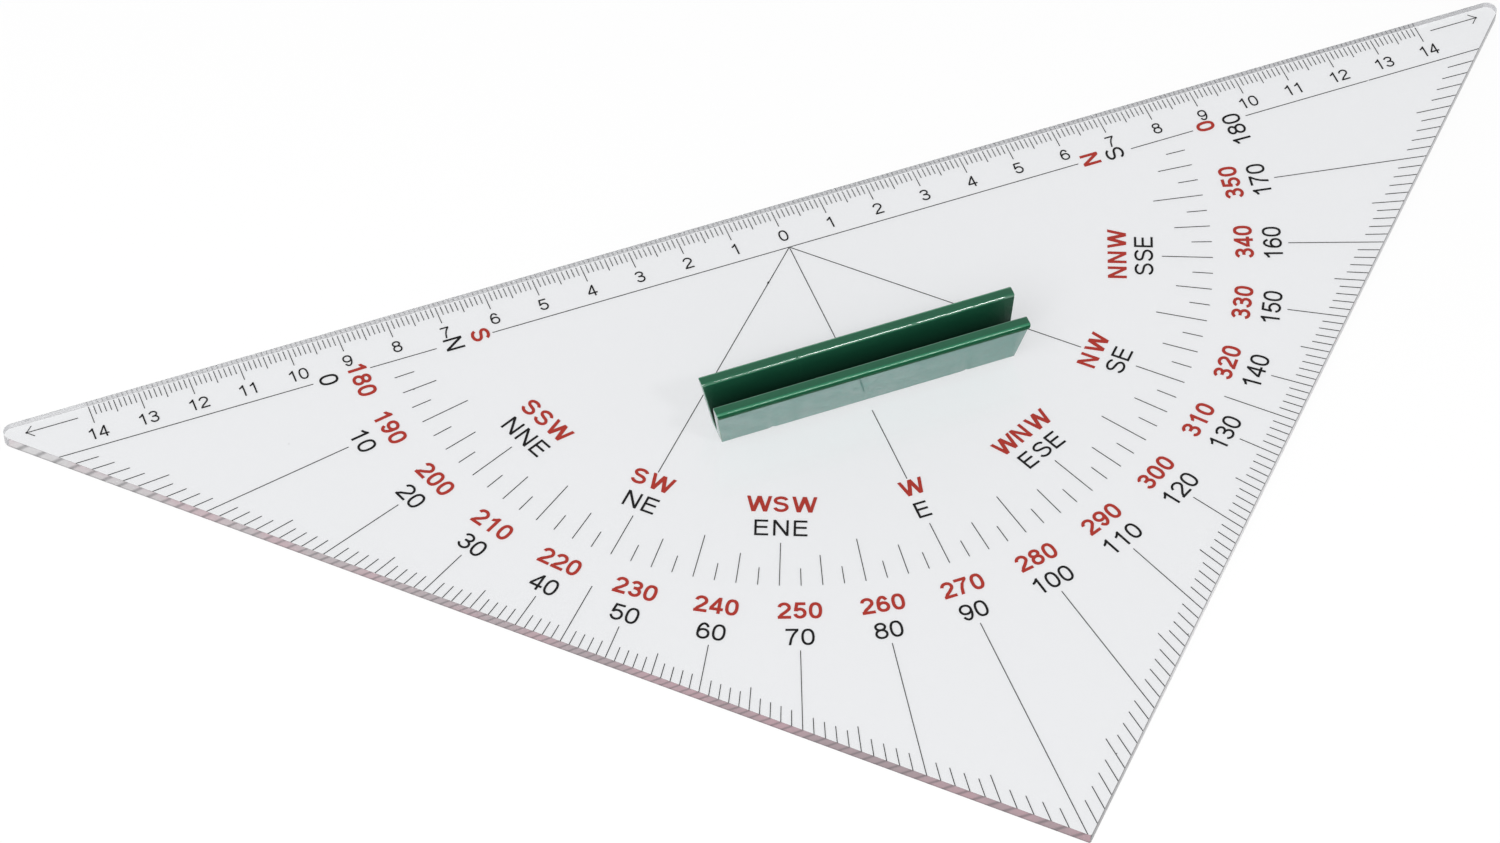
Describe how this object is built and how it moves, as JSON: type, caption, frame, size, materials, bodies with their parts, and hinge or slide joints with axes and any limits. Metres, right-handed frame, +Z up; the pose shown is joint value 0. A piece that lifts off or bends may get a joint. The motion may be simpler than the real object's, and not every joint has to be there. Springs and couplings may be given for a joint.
{
  "type": "triangular navigation protractor",
  "caption": "Clear right-angled triangle with a green grip trough, a compass rose and degree and centimetre scales printed on its underside.",
  "frame": {"origin": "the protractor's centre, where its bearing lines meet the base line, on the underside", "axes": "+X along the ruler edge to the 180 degree side, +Y from the protractor's centre to the ruler edge, +Z up through the plate to the grip"},
  "size_m": [0.3144, 0.1598, 0.014],
  "materials": {
    "clear_acrylic": "polished",
    "green_plastic": "gloss",
    "black_print": "satin",
    "red_print": "satin"
  },
  "bodies": {
    "triangle": {"plate": "clear_acrylic", "centimetre_marks": "black_print", "centimetre_numerals": "black_print", "end_arrows": "black_print", "base_line": "black_print", "bearing_lines": "black_print", "compass_marks": "black_print", "compass_letters_black": "black_print", "compass_letters_red": "red_print", "degree_marks": "black_print", "ten_degree_lines": "black_print", "degree_numerals_black": "black_print", "degree_numerals_red": "red_print"},
    "grip": {"grip": "green_plastic"}
  },
  "joints": [
    {"name": "grip_lift", "type": "slide", "parent": "triangle", "child": "grip", "axis": [0, 0, 1], "range_m": [0, 0.02]}
  ]
}
